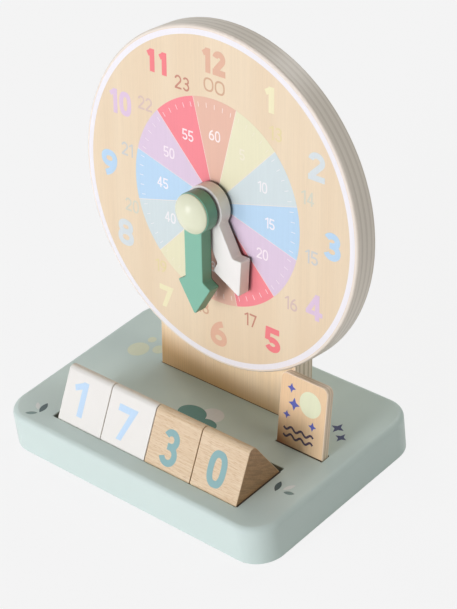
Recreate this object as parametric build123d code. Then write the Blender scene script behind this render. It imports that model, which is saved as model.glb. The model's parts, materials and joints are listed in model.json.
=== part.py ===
from build123d import *
import math
import os

# Geared teaching clock: a leaning clock face on a board, with four lift-out number
# blocks and a day and night tile. Millimetres. Origin at the middle of the underside,
# +Z up, the clock face looks towards -Y.

# ---------------------------------------------------------------- driving dimensions

# base board
base_width = 200.0
base_depth = 135.0
base_height = 24.0
base_corner_r = 17.5
base_edge_r = 3.7
base_foot_r = 0.6
cut_edge_r = 0.5

# upright board, which leans back in a socket of the base
lean_deg = 8.6
upright_front_y = 19.0
upright_width = 103.2
upright_thickness = 15.0
upright_socket_depth = 16.0
upright_above_centre = 45.0
upright_corner_r = 20.0
upright_edge_r = 0.7
socket_gap = 0.4
channel_gap = 0.2

# dial, two plywood discs glued face to face
dial_radius = 100.0
dial_front_thickness = 8.0
dial_back_thickness = 7.0
dial_edge_r = 2.0
dial_rear_chamfer = 0.8
dial_rise = 122.5

# hands
hand_thickness = 8.2
hand_edge_r = 0.6
hour_hand_gap = 1.2
minute_hand_gap = 1.0
shaft_width = 12.8
barb_half_width = 11.9
barb_sweep = 3.0
arrow_length = 21.4
notch_r = 1.6
barb_r = 0.9
tip_r = 1.1
minute_boss_r = 11.9
minute_reach = 61.4
minute_hand_turn = 0.8
hour_boss_r = 13.0
hour_reach = 52.6
hour_hand_turn = 29.2

# cap on the centre
cap_radius = 11.5
cap_rim = 1.0
cap_dome = 4.6
cap_edge_r = 0.5
cap_bore_depth = 3.0

# gear train behind the dial
gear_module = 1.25
pressure_angle = 25.0
addendum = 0.75
dedendum = 1.0
backlash = 0.3
minute_pinion_teeth = 10
intermediate_wheel_teeth = 30
intermediate_pinion_teeth = 8
hour_wheel_teeth = 32
wheel_thickness = 3.2
wheel_gap = 0.9
pinion_overhang = 0.3
pocket_margin = 1.6

# shafts, bushes and washers
arbor_r = 2.5
pipe_wall = 1.45
bush_wall = 2.0
flange_width = 3.0
flange_thickness = 1.0
stud_r = 2.0
stud_root_r = 4.0
stud_collar_r = 5.5
stud_root_depth = 3.2
spring_washer_thickness = 0.8
washer_width = 4.0
running_gap = 0.05
seat_gap = 0.02
axial_gap = 0.1
arbor_end_gap = 0.3

# screws
screw_head_r = 3.6
screw_head_height = 2.4
screw_rim = 0.4
screw_shank_r = 1.8
screw_gap = 0.05
screw_slot_width = 1.0
screw_slot_length = 4.2
screw_slot_depth = 1.3
dial_screw_u = 38.0
dial_screw_v = (-62.0, 30.0)
dial_screw_sink = 0.3
dial_screw_grip = 5.5
upright_screw_u = 35.0
upright_screw_sink = 0.9
upright_screw_grip = 20.0

# number blocks and their recess
block_count = 4
block_side = 41.0
block_corner_r = 3.5
block_end_r = 0.5
block_length = 34.1
block_gap = 0.4
recess_depth = 4.5
recess_front_margin = 12.8
recess_right_margin = 26.9
recess_front_gap = 0.2
recess_rear_gap = 3.2
recess_right_gap = 0.3
recess_left_gap = 3.6

# day and night tile and its slot
tile_width = 33.0
tile_height = 43.0
tile_thickness = 5.2
tile_corner_r = 4.0
tile_edge_r = 0.5
tile_right_margin = 13.6
tile_lean_deg = 14.2
tile_slot_depth = 4.0
tile_slot_gap = 0.06
tile_end_gap = 0.4
tile_dial_gap = 0.1

# ---------------------------------------------------------------- worked-out values

lean = math.radians(lean_deg)

# cutting tools reach this far past the faces they open, and points closer than near are one
overshoot = 1.0
near = 0.1

# depths in the dial's own frame: 0 is the dial's face, positive is in front of it
dial_seam = -dial_front_thickness
dial_rear = dial_seam - dial_back_thickness
upright_rear = dial_seam - upright_thickness
hour_wheel_front = dial_seam - flange_thickness - axial_gap
hour_wheel_rear = hour_wheel_front - wheel_thickness
intermediate_front = hour_wheel_rear - wheel_gap
intermediate_rear = intermediate_front - wheel_thickness
minute_pinion_front = intermediate_front + pinion_overhang
minute_pinion_rear = intermediate_rear - pinion_overhang
spring_washer_front = minute_pinion_rear - running_gap
spring_washer_rear = spring_washer_front - spring_washer_thickness
pocket_floor = spring_washer_rear - running_gap - flange_thickness
hour_hand_rear = hour_hand_gap
hour_hand_front = hour_hand_rear + hand_thickness
minute_hand_rear = hour_hand_front + minute_hand_gap
minute_hand_front = minute_hand_rear + hand_thickness

# radii on the centre line
pipe_bore_r = arbor_r + running_gap
pipe_r = pipe_bore_r + pipe_wall
front_bush_bore_r = pipe_r + running_gap
front_bush_r = front_bush_bore_r + bush_wall
rear_bush_bore_r = arbor_r + running_gap
rear_bush_r = rear_bush_bore_r + bush_wall
stud_bore_r = stud_r + running_gap

# both gear pairs share one centre distance
gear_centres = gear_module * (minute_pinion_teeth + intermediate_wheel_teeth) / 2
upright_foot_v = -(dial_rise + upright_socket_depth)

# the dial's frame: X to the right, Y up the lean, Z out of the face
dial_normal = (0.0, -math.cos(lean), math.sin(lean))
dial_centre = (
    0.0,
    upright_front_y + dial_rise * math.sin(lean) + dial_seam * math.cos(lean),
    base_height + dial_rise * math.cos(lean) - dial_seam * math.sin(lean),
)
dial_frame = Plane(origin=dial_centre, x_dir=(1, 0, 0), z_dir=dial_normal)


def on_dial(piece):
    """Moves a piece from the dial's frame into the clock's."""
    return dial_frame.location * piece


def disc(radius, rear, front, x=0.0, y=0.0):
    """A cylinder along the dial's normal, from one depth to another."""
    cylinder = Cylinder(radius, front - rear, align=(Align.CENTER, Align.CENTER, Align.MIN))
    return Pos(x, y, rear) * cylinder


def slab(width, bottom, top, rear, front):
    """A box in the dial's frame, centred from side to side."""
    box = Box(width, top - bottom, front - rear, align=(Align.CENTER, Align.MIN, Align.MIN))
    return Pos(0, bottom, rear) * box


# ---------------------------------------------------------------- boards


def upright_outline(grow):
    """The upright's front view, from its foot to its rounded top, grown by a clearance."""
    width = upright_width + 2 * grow
    top = upright_above_centre + grow
    height = top - upright_foot_v
    outline = Pos(0, upright_foot_v) * Rectangle(width, height, align=(Align.CENTER, Align.MIN))
    corners = outline.vertices().sort_by(Axis.Y)[-2:]
    return fillet(corners, upright_corner_r + grow)


def gear_pocket():
    """The hollow in the upright's face that holds the wheels, in the dial's frame."""
    hour_clear = gear_module * (hour_wheel_teeth / 2 + addendum) + pocket_margin
    intermediate_clear = gear_module * (intermediate_wheel_teeth / 2 + addendum) + pocket_margin
    hour_room = disc(hour_clear, pocket_floor, dial_seam + overshoot)
    intermediate_room = disc(intermediate_clear, pocket_floor, dial_seam + overshoot, 0, -gear_centres)
    return hour_room + intermediate_room


def make_upright_board():
    board = Pos(0, 0, upright_rear) * extrude(upright_outline(0), upright_thickness)
    board = fillet(board.edges().filter_by(Axis.Y), upright_edge_r)
    board -= gear_pocket()
    board -= disc(rear_bush_r + seat_gap, upright_rear - overshoot, pocket_floor + overshoot)
    stud_hole_rear = pocket_floor - stud_root_depth - seat_gap
    board -= disc(stud_root_r + seat_gap, stud_hole_rear, pocket_floor + overshoot, 0, -gear_centres)
    for place in dial_screw_places():
        board -= place * screw_room(dial_screw_length)
    for place in upright_screw_places():
        board -= place * screw_room(upright_screw_length)
    return on_dial(board)


def make_base_board():
    board = Box(base_width, base_depth, base_height, align=(Align.CENTER, Align.CENTER, Align.MIN))
    board = fillet(board.edges().filter_by(Axis.Z), base_corner_r)
    board = fillet(board.faces().sort_by(Axis.Z)[-1].edges(), base_edge_r)
    board = fillet(board.faces().sort_by(Axis.Z)[0].edges(), base_foot_r)
    board -= recess_room()
    board -= tile_slot_room()
    rim_edges = [edge for edge in board.edges().filter_by_position(Axis.Z, base_height, base_height)
                 if abs(edge.center().Y) < base_depth / 2 - base_edge_r - overshoot
                 and abs(edge.center().X) < base_width / 2 - base_edge_r - overshoot]
    board = fillet(rim_edges, cut_edge_r)
    socket = slab(upright_width + 2 * socket_gap, upright_foot_v, base_height - dial_rise,
                  upright_rear - socket_gap, dial_seam + socket_gap)
    board -= on_dial(socket)
    for place in upright_screw_places():
        board -= on_dial(place * screw_room(upright_screw_length))
        counterbore = Cylinder(screw_head_r + screw_gap, base_height,
                               align=(Align.CENTER, Align.CENTER, Align.MAX))
        board -= on_dial(place * Pos(0, 0, screw_rim) * counterbore)
    return board


def make_dial_front():
    board = disc(dial_radius, dial_seam, 0)
    board = fillet(board.faces().sort_by(Axis.Z)[-1].edges(), dial_edge_r)
    board -= disc(front_bush_r + seat_gap, dial_seam - overshoot, overshoot)
    for place in dial_screw_places():
        board -= place * screw_room(dial_screw_length)
    return on_dial(board)


def make_dial_back():
    """The rear disc, with a channel as wide as the upright that runs out at the bottom."""
    board = disc(dial_radius, dial_rear, dial_seam)
    board = chamfer(board.faces().sort_by(Axis.Z)[0].edges(), dial_rear_chamfer)
    channel = extrude(upright_outline(channel_gap), dial_back_thickness + 2 * overshoot)
    board -= Pos(0, 0, dial_rear - overshoot) * channel
    return on_dial(board)


# ---------------------------------------------------------------- hands and cap


def arrow_outline(boss_r, reach):
    """A round boss, a straight shaft and a swept arrowhead that points down."""
    half = shaft_width / 2
    notch = reach - arrow_length
    barb = notch + barb_sweep
    points = [(-half, 0), (-half, -notch), (-barb_half_width, -barb), (0, -reach),
              (barb_half_width, -barb), (half, -notch), (half, 0)]
    head = make_face(Polyline(points, close=True))
    corners = head.vertices()
    head = fillet([v for v in corners if abs(v.Y + reach) < near], tip_r)
    head = fillet([v for v in head.vertices() if abs(v.Y + barb) < near
                   and abs(abs(v.X) - barb_half_width) < near], barb_r)
    head = fillet([v for v in head.vertices() if abs(v.Y + notch) < near], notch_r)
    return head + Circle(boss_r)


def arrow_hand(boss_r, reach, rear, bore_r):
    hand = Pos(0, 0, rear) * extrude(arrow_outline(boss_r, reach), hand_thickness)
    for depth in (rear, rear + hand_thickness):
        hand = fillet(hand.edges().filter_by_position(Axis.Z, depth, depth), hand_edge_r)
    return hand - disc(bore_r, rear - overshoot, rear + hand_thickness + overshoot)


def make_minute_hand():
    hand = arrow_hand(minute_boss_r, minute_reach, minute_hand_rear, arbor_r + seat_gap)
    return on_dial(Rot(0, 0, minute_hand_turn) * hand)


def make_hour_hand():
    hand = arrow_hand(hour_boss_r, hour_reach, hour_hand_rear, pipe_r + seat_gap)
    return on_dial(Rot(0, 0, hour_hand_turn) * hand)


def make_centre_cap():
    """A turned cap: a short upright rim under a flat dome, with a blind bore."""
    top = cap_rim + cap_dome
    dome_r = (cap_radius ** 2 + cap_dome ** 2) / (2 * cap_dome)
    slope = math.asin(cap_radius / dome_r) / 2
    middle = (dome_r * math.sin(slope), top - dome_r + dome_r * math.cos(slope))
    profile = make_face([
        Line((0, 0), (cap_radius, 0)),
        Line((cap_radius, 0), (cap_radius, cap_rim)),
        ThreePointArc((cap_radius, cap_rim), middle, (0, top)),
        Line((0, top), (0, 0)),
    ])
    rim = [corner for corner in profile.vertices() if abs(corner.X - cap_radius) < near]
    profile = fillet(rim, cap_edge_r)
    cap = revolve(Plane.XZ * profile, Axis.Z)
    cap -= Cylinder(arbor_r + seat_gap, cap_bore_depth, align=(Align.CENTER, Align.CENTER, Align.MIN))
    return on_dial(Pos(0, 0, minute_hand_front) * cap)


# ---------------------------------------------------------------- gears


def involute(angle):
    """The involute function of a pressure angle in radians."""
    return math.tan(angle) - angle


def gear(teeth, rear, front, first_tooth_deg, bore_r):
    """A spur gear with involute flanks and one tooth centred on the given angle."""
    pitch_r = gear_module * teeth / 2
    base_r = pitch_r * math.cos(math.radians(pressure_angle))
    tip = pitch_r + addendum * gear_module
    root = pitch_r - dedendum * gear_module
    flank_foot = max(base_r, root)
    steps = 5
    half_at_pitch = math.pi / (2 * teeth) - backlash / (4 * pitch_r)
    opening = half_at_pitch + involute(math.radians(pressure_angle))
    flank = [(root, opening - involute(math.acos(min(1.0, base_r / flank_foot))))]
    for step in range(steps + 1):
        radius = flank_foot + (tip - flank_foot) * step / steps
        flank.append((radius, opening - involute(math.acos(min(1.0, base_r / radius)))))
    if root >= base_r:
        flank = flank[1:]
    points = []
    for tooth in range(teeth):
        centre = math.radians(first_tooth_deg) + 2 * math.pi * tooth / teeth
        outline = [(radius, centre - half) for radius, half in flank]
        outline += [(radius, centre + half) for radius, half in reversed(flank)]
        points += [(radius * math.cos(angle), radius * math.sin(angle)) for radius, angle in outline]
    blank = extrude(make_face(Polyline(points, close=True)), front - rear)
    return Pos(0, 0, rear) * blank - disc(bore_r, rear - overshoot, front + overshoot)


def make_minute_pinion():
    pinion = gear(minute_pinion_teeth, minute_pinion_rear, minute_pinion_front, -90, arbor_r + seat_gap)
    return on_dial(pinion)


def make_intermediate_wheel():
    meshing = 90 + 180 / intermediate_wheel_teeth
    wheel = gear(intermediate_wheel_teeth, intermediate_rear, intermediate_front, meshing, stud_bore_r)
    return on_dial(Pos(0, -gear_centres, 0) * wheel)


def make_intermediate_pinion():
    front = dial_seam - pinion_overhang
    pinion = gear(intermediate_pinion_teeth, intermediate_front, front, 90, stud_bore_r)
    return on_dial(Pos(0, -gear_centres, 0) * pinion)


def make_hour_wheel():
    meshing = -90 + 180 / hour_wheel_teeth
    wheel = gear(hour_wheel_teeth, hour_wheel_rear, hour_wheel_front, meshing, pipe_r + seat_gap)
    return on_dial(wheel)


# ---------------------------------------------------------------- shafts, bushes, washers


def tube(outer_r, inner_r, rear, front):
    return disc(outer_r, rear, front) - disc(inner_r, rear - overshoot, front + overshoot)


def make_minute_arbor():
    front = minute_hand_front + cap_bore_depth - arbor_end_gap
    return on_dial(disc(arbor_r, upright_rear + arbor_end_gap, front))


def make_hour_pipe():
    return on_dial(tube(pipe_r, pipe_bore_r, hour_wheel_rear, hour_hand_front - arbor_end_gap))


def make_front_bush():
    sleeve = disc(front_bush_r, dial_seam, 0)
    flange = disc(front_bush_r + flange_width, dial_seam - flange_thickness, dial_seam)
    bore = disc(front_bush_bore_r, dial_seam - 2 * flange_thickness, overshoot)
    return on_dial(sleeve + flange - bore)


def make_rear_bush():
    sleeve = disc(rear_bush_r, upright_rear, pocket_floor)
    flange = disc(rear_bush_r + flange_width, pocket_floor, pocket_floor + flange_thickness)
    bore = disc(rear_bush_bore_r, upright_rear - overshoot, pocket_floor + 2 * flange_thickness)
    return on_dial(sleeve + flange - bore)


def make_intermediate_stud():
    root = disc(stud_root_r, pocket_floor - stud_root_depth, pocket_floor)
    collar = disc(stud_collar_r, pocket_floor, intermediate_rear - axial_gap)
    pin = disc(stud_r, intermediate_rear - axial_gap, dial_seam - axial_gap)
    return on_dial(Pos(0, -gear_centres, 0) * (root + collar + pin))


def make_spring_washer():
    bore_r = arbor_r + running_gap
    return on_dial(tube(arbor_r + washer_width, bore_r, spring_washer_rear, spring_washer_front))


def make_dial_washer():
    return on_dial(tube(pipe_r + washer_width, front_bush_bore_r, 0, hour_hand_rear - axial_gap))


def make_hand_washer():
    rear = hour_hand_front + axial_gap
    return on_dial(tube(arbor_r + washer_width, arbor_r + seat_gap, rear, minute_hand_rear))


# ---------------------------------------------------------------- screws

dial_screw_length = upright_thickness - dial_screw_sink + dial_screw_grip
upright_screw_depth = dial_seam - upright_thickness / 2
upright_screw_head_z = upright_screw_sink - dial_centre[2] - upright_screw_depth * math.sin(lean)
upright_screw_head_v = upright_screw_head_z / math.cos(lean)
upright_screw_length = upright_foot_v - upright_screw_head_v + upright_screw_grip


def screw_shape(length, grow):
    """A countersunk screw along +Z with its head's face at 0, grown by a clearance."""
    head = screw_head_r + grow
    shank = screw_shank_r + grow
    points = [(0, 0), (head, 0), (head, screw_rim), (shank, screw_head_height),
              (shank, length - screw_shank_r), (0, length + grow)]
    return revolve(Plane.XZ * make_face(Polyline(points, close=True)), Axis.Z)


def screw_room(length):
    """The hole that the screw lies in, open behind its head."""
    mouth_r = screw_head_r + screw_gap
    mouth = Cylinder(mouth_r, 2 * overshoot, align=(Align.CENTER, Align.CENTER, Align.MAX))
    return screw_shape(length, screw_gap) + Pos(0, 0, screw_rim / 2) * mouth


def screw(length):
    body = screw_shape(length, 0)
    for width, height in ((screw_slot_width, screw_slot_length), (screw_slot_length, screw_slot_width)):
        body -= Box(width, height, 2 * screw_slot_depth)
    return body


def dial_screw_places():
    depth = upright_rear + dial_screw_sink
    return [Pos(side * dial_screw_u, v, depth) for side in (-1, 1) for v in dial_screw_v]


def upright_screw_places():
    head_v = upright_screw_head_v
    return [Pos(side * upright_screw_u, head_v, upright_screw_depth) * Rot(-90, 0, 0) for side in (-1, 1)]


def make_dial_screws():
    return Compound([on_dial(place * screw(dial_screw_length)) for place in dial_screw_places()])


def make_upright_screws():
    return Compound([on_dial(place * screw(upright_screw_length)) for place in upright_screw_places()])


# ---------------------------------------------------------------- blocks and tile

block_inset = block_corner_r * (math.sqrt(3) - 1)
block_depth = block_side - 2 * block_inset
block_pitch = block_length + block_gap
recess_floor_z = base_height - recess_depth
recess_front_y = recess_front_margin - base_depth / 2
recess_right_x = base_width / 2 - recess_right_margin
row_right_x = recess_right_x - recess_right_gap
row_left_x = row_right_x - block_count * block_pitch + block_gap


def recess_room():
    """The shallow recess that the number blocks stand in."""
    left = row_left_x - recess_left_gap
    depth = recess_front_gap + block_depth + recess_rear_gap
    height = recess_depth + overshoot
    room = Box(recess_right_x - left, depth, height, align=(Align.MIN, Align.MIN, Align.MIN))
    return Pos(left, recess_front_y, recess_floor_z) * room


def make_number_block(index):
    """A three-sided bar with rounded corners, lying on one side."""
    height = block_side * math.sqrt(3) / 2
    triangle = make_face(Polyline([(0, 0), (block_side, 0), (block_side / 2, height)], close=True))
    section = fillet(triangle.vertices(), block_corner_r)
    bar = extrude(Plane.YZ * section, block_length)
    ends = bar.faces().sort_by(Axis.X)
    bar = fillet(ends[0].edges() + ends[-1].edges(), block_end_r)
    left = row_left_x + index * block_pitch
    return Pos(left, recess_front_y + recess_front_gap - block_inset, recess_floor_z) * bar


tile_left_x = base_width / 2 - tile_right_margin - tile_width
tile_lean = math.radians(tile_lean_deg)
tile_touch_x = tile_left_x + tile_corner_r
dial_edge_v = -math.sqrt(dial_radius ** 2 - tile_touch_x ** 2)
dial_edge_y = dial_centre[1] + dial_edge_v * math.sin(lean)
tile_rear_y = dial_edge_y - tile_dial_gap - tile_height * math.sin(tile_lean)
tile_front_y = tile_rear_y - tile_thickness / math.cos(tile_lean)
tile_floor_z = base_height - tile_slot_depth
tile_foot_z = tile_floor_z + tile_thickness * math.sin(tile_lean)
tile_foot_y = tile_front_y - (base_height - tile_foot_z) * math.tan(tile_lean)


def tile_slot_room():
    """A slot with upright walls: the tile stands loose in it and leans on its rear edge."""
    front = tile_foot_y - tile_slot_gap
    rear = tile_rear_y + tile_slot_gap + cut_edge_r
    room = Box(tile_width + 2 * tile_end_gap, rear - front, tile_slot_depth + overshoot,
               align=(Align.MIN, Align.MIN, Align.MIN))
    return Pos(tile_left_x - tile_end_gap, front, tile_floor_z) * room


def make_day_night_tile():
    height = tile_height + (base_height - tile_foot_z) / math.cos(tile_lean)
    face = Rectangle(tile_width, height, align=(Align.MIN, Align.MIN))
    face = fillet(face.vertices().sort_by(Axis.Y)[-2:], tile_corner_r)
    tile = extrude(face, tile_thickness)
    sides = tile.faces().sort_by(Axis.Z)
    tile = fillet(sides[0].edges() + sides[-1].edges(), tile_edge_r)
    corner = (tile_left_x + tile_width, tile_foot_y, tile_foot_z)
    rearward = (0.0, math.cos(tile_lean), -math.sin(tile_lean))
    return Plane(origin=corner, x_dir=(-1, 0, 0), z_dir=rearward).location * tile


# ---------------------------------------------------------------- sub-parts

makers = {
    "base_board": make_base_board,
    "upright_board": make_upright_board,
    "dial_front": make_dial_front,
    "dial_back": make_dial_back,
    "front_bush": make_front_bush,
    "rear_bush": make_rear_bush,
    "intermediate_stud": make_intermediate_stud,
    "spring_washer": make_spring_washer,
    "dial_washer": make_dial_washer,
    "dial_screws": make_dial_screws,
    "upright_screws": make_upright_screws,
    "minute_arbor": make_minute_arbor,
    "minute_pinion": make_minute_pinion,
    "minute_hand": make_minute_hand,
    "hand_washer": make_hand_washer,
    "centre_cap": make_centre_cap,
    "intermediate_wheel": make_intermediate_wheel,
    "intermediate_pinion": make_intermediate_pinion,
    "hour_pipe": make_hour_pipe,
    "hour_wheel": make_hour_wheel,
    "hour_hand": make_hour_hand,
    "day_night_tile": make_day_night_tile,
}

os.makedirs("parts", exist_ok=True)
for name, make in makers.items():
    export_step(make(), f"parts/{name}.step")
for number in range(block_count):
    export_step(make_number_block(number), f"parts/number_block_{number + 1}.step")
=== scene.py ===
import json
import math

import bmesh
import bpy
import numpy as np
from mathutils import Matrix, Vector
from mathutils.geometry import delaunay_2d_cdt

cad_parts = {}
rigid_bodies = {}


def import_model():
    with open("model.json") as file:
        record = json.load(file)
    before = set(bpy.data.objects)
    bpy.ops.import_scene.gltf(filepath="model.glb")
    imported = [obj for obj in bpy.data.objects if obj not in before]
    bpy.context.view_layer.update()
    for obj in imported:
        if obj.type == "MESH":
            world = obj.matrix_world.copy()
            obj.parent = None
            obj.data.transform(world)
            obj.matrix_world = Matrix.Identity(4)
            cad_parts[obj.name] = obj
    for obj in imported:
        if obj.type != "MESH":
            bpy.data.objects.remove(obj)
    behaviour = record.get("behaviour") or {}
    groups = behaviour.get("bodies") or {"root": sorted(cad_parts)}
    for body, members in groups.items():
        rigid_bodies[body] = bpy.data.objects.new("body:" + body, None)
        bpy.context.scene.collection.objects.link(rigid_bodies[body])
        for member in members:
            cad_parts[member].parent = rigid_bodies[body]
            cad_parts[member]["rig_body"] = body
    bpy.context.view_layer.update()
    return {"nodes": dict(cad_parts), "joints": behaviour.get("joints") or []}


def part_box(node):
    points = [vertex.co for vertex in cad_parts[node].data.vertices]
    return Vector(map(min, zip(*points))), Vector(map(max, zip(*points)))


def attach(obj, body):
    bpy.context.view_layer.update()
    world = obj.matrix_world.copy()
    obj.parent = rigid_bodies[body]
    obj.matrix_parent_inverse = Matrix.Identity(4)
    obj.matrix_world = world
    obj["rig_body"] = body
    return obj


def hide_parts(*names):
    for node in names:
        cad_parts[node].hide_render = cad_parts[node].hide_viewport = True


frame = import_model()

# A wooden teaching clock, dressed in the order in which it is put together. Lengths are
# written in millimetres and placed in metres.
mm = 0.001

# ---------------------------------------------------------------- base board
# One thick board of birch plywood, milled with a recess for the blocks and a slot for the
# tile, rounded over along its top edge, sanded, and sprayed with satin sage-green paint.

base_green = "#CBDBD3"
base_cloud_green = "#C7D7CF"
# half the width and half the length that hold every pocket milled into the top, and the painted
# shade in them
pocket_reach = (89 * mm, 58 * mm)
pocket_shade_colour = "#8A9188"


def linear(hex_colour):
    """A colour written as sRGB hex, as linear RGBA: the sRGB curve undone channel by channel."""
    channels = [int(hex_colour[i:i + 2], 16) / 255 for i in (1, 3, 5)]
    return [c / 12.92 if c <= 0.04045 else ((c + 0.055) / 1.055) ** 2.4 for c in channels] + [1.0]


def add(tree, kind, links=None, **settings):
    """Adds one node: settings are its properties, links its inputs, each a value or an output socket."""
    node = tree.nodes.new(kind)
    for name, value in settings.items():
        setattr(node, name, value)
    for socket, value in (links or {}).items():
        if isinstance(value, bpy.types.NodeSocket):
            tree.links.new(value, node.inputs[socket])
        else:
            node.inputs[socket].default_value = value
    return node


def new_material(name):
    """An empty node material: its tree and the surface socket of its output."""
    material = bpy.data.materials.new(name)
    material.use_nodes = True
    tree = material.node_tree
    tree.nodes.clear()
    return material, tree, tree.nodes.new("ShaderNodeOutputMaterial").inputs["Surface"]


def distance_along(tree, place, origin, way):
    """How far a place lies from an origin along a direction: the dot product of the two, in metres."""
    apart = add(tree, "ShaderNodeVectorMath", {0: place, 1: tuple(origin)}, operation="SUBTRACT")
    return add(tree, "ShaderNodeVectorMath", {0: apart.outputs[0], 1: tuple(way)},
               operation="DOT_PRODUCT").outputs["Value"]


def sprayed_paint(name, colour, cloud_colour, roughness, peel_mm=0.9, side_shade=None, milled=None, back=None):
    """Sprayed wood paint: a flat colour that clouds a little, over the softest orange peel. Sides, which
    face away from the direction given with their tone, get that tone as painted shade. Pockets, inside
    the reach across and below the height given with their tone, are painted darker as shade. A band
    below a height in mm over a point and along a direction is painted dark as the shadow in the gap behind
    it."""
    material, tree, surface = new_material(name)
    place = add(tree, "ShaderNodeTexCoord").outputs["Object"]
    # clouds about 26 mm wide
    cloud = add(tree, "ShaderNodeTexNoise", {"Vector": place, "Scale": 1 / (26 * mm), "Detail": 3.0})
    tone = add(tree, "ShaderNodeMix", {0: cloud.outputs["Fac"], 6: linear(cloud_colour), 7: linear(colour)},
               data_type="RGBA").outputs[2]
    if side_shade:
        face_way, side_shade_tone = side_shade
        normal = add(tree, "ShaderNodeNewGeometry").outputs["Normal"]
        facing = add(tree, "ShaderNodeVectorMath", {0: normal, 1: tuple(face_way)}, operation="DOT_PRODUCT")
        # painted shade on the sides comes in from 57 to 81 degrees off the face, whose cosines these are
        square = add(tree, "ShaderNodeMapRange", {0: facing.outputs["Value"], 1: 0.55, 2: 0.15})
        tone = add(tree, "ShaderNodeMix", {0: square.outputs[0], 6: tone, 7: linear(side_shade_tone)},
                   data_type="RGBA", blend_type="MULTIPLY").outputs[2]
    if back:
        point, way, height, gap_shade_tone = back
        above = distance_along(tree, place, point, way)
        # the painted gap shadow ends over 0.3 mm
        share = add(tree, "ShaderNodeMapRange", {0: above, 1: (height + 0.15) * mm, 2: (height - 0.15) * mm})
        tone = add(tree, "ShaderNodeMix", {0: share.outputs[0], 6: tone, 7: linear(gap_shade_tone)},
                   data_type="RGBA").outputs[2]
    if milled:
        reach_x, reach_y, height, pocket_shade_tone = milled
        spot = add(tree, "ShaderNodeVectorMath", {0: place}, operation="ABSOLUTE").outputs[0]
        spot = add(tree, "ShaderNodeSeparateXYZ", {0: spot}).outputs
        # the painted pocket shade comes in from 0.2 to 0.8 mm below the top, and not on the underside
        share = add(tree, "ShaderNodeMapRange",
                    {0: spot["Z"], 1: height - 0.2 * mm, 2: height - 0.8 * mm}).outputs[0]
        for axis, limit, side in (("X", reach_x, "LESS_THAN"), ("Y", reach_y, "LESS_THAN"),
                                  ("Z", mm, "GREATER_THAN")):
            within = add(tree, "ShaderNodeMath", {0: spot[axis], 1: limit}, operation=side)
            share = add(tree, "ShaderNodeMath", {0: share, 1: within.outputs[0]},
                        operation="MULTIPLY").outputs[0]
        tone = add(tree, "ShaderNodeMix", {0: share, 6: tone, 7: linear(pocket_shade_tone)},
                   data_type="RGBA").outputs[2]
    peel = add(tree, "ShaderNodeTexNoise", {"Vector": place, "Scale": 1 / (peel_mm * mm), "Detail": 2.0})
    bump = add(tree, "ShaderNodeBump", {"Height": peel.outputs["Fac"], "Strength": 0.10,
                                        "Distance": 0.05 * mm})
    paint = add(tree, "ShaderNodeBsdfPrincipled", {"Base Color": tone, "Roughness": roughness,
                                                   "Normal": bump.outputs["Normal"]})
    tree.links.new(paint.outputs["BSDF"], surface)
    return material


def dress(node, material, sharp_deg=32.0):
    """Stands a copy of a node's mesh in its place, its doubles merged to half a micron, shaded smooth
    but for edges sharper than sharp_deg, with normals weighted by area so that flat faces stay flat."""
    source = frame["nodes"][node]
    mesh = source.data.copy()
    if "custom_normal" in mesh.attributes:
        mesh.attributes.remove(mesh.attributes["custom_normal"])
    shell = bmesh.new()
    shell.from_mesh(mesh)
    bmesh.ops.remove_doubles(shell, verts=shell.verts, dist=0.0005 * mm)
    shell.to_mesh(mesh)
    shell.free()
    mesh.polygons.foreach_set("use_smooth", np.ones(len(mesh.polygons), bool))
    mesh.set_sharp_from_angle(angle=math.radians(sharp_deg))
    mesh.materials.clear()
    mesh.materials.append(material)
    piece = bpy.data.objects.new(node + "_finish", mesh)
    bpy.context.collection.objects.link(piece)
    weighted = piece.modifiers.new("even_shading", "WEIGHTED_NORMAL")
    weighted.keep_sharp = True
    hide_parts(node)
    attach(piece, source["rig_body"])


base_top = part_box("base_board")[1].z
# satin paint on sanded wood: a broad, soft sheen, and no grain shows through; its pockets get
# painted shade
base_paint = sprayed_paint("sage_green_satin_paint", base_green, base_cloud_green, 0.42,
                           milled=(*pocket_reach, base_top, pocket_shade_colour))
dress("base_board", base_paint)

# ---------------------------------------------------------------- upright and dial boards
# Birch plywood, 15 mm thick: pale rotary-cut veneer with its grain up the board, and edges
# that show the plies, light where the grain runs along the edge and dark across it. The
# dial's two discs are glued face to face, and everything has a clear satin varnish.

minute_joint = next(joint for joint in frame["joints"] if joint["name"] == "minute_turn")
dial_centre = np.array(minute_joint["pos_m"])
dial_out = -np.array(minute_joint["axis"])
dial_right = np.array([1.0, 0.0, 0.0])
dial_up = np.cross(dial_out, dial_right)

dial_front_thickness = 8.0
ply_thickness = 15.0
# where the dark plies lie under the face, from edge to edge, in mm
dark_plies = ((0.6, 1.5), (3.2, 4.3), (6.8, 8.2), (10.7, 11.8), (13.5, 14.4))
# the tones of the veneer, its broad bands, the cut edge and the dark plies
dial_wood = ("#E6D4B4", "#E3CFAE", "#EEE5D6", "#DDD3C3")
upright_wood = ("#FAE5C2", "#F5DEB7", "#EEE2CE", "#C9BB9F")
upright_streaks = 0.90
# the upright's foot is painted darker as shade, down its height and a little to the left, from 102
# to 124 mm below the dial's centre
upright_foot_shade = ((0.2, 1.0, 0.0), -102, -124, "#E0C9AA")


def fibres(tree, place, size_mm, detail):
    """Wood fibres: noise drawn out until its grains have the three sizes given in mm."""
    drawn = add(tree, "ShaderNodeVectorMath", {0: place, 1: tuple(1 / (size * mm) for size in size_mm)},
                operation="MULTIPLY").outputs[0]
    return add(tree, "ShaderNodeTexNoise", {"Vector": drawn, "Scale": 1.0, "Detail": detail}).outputs["Fac"]


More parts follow.
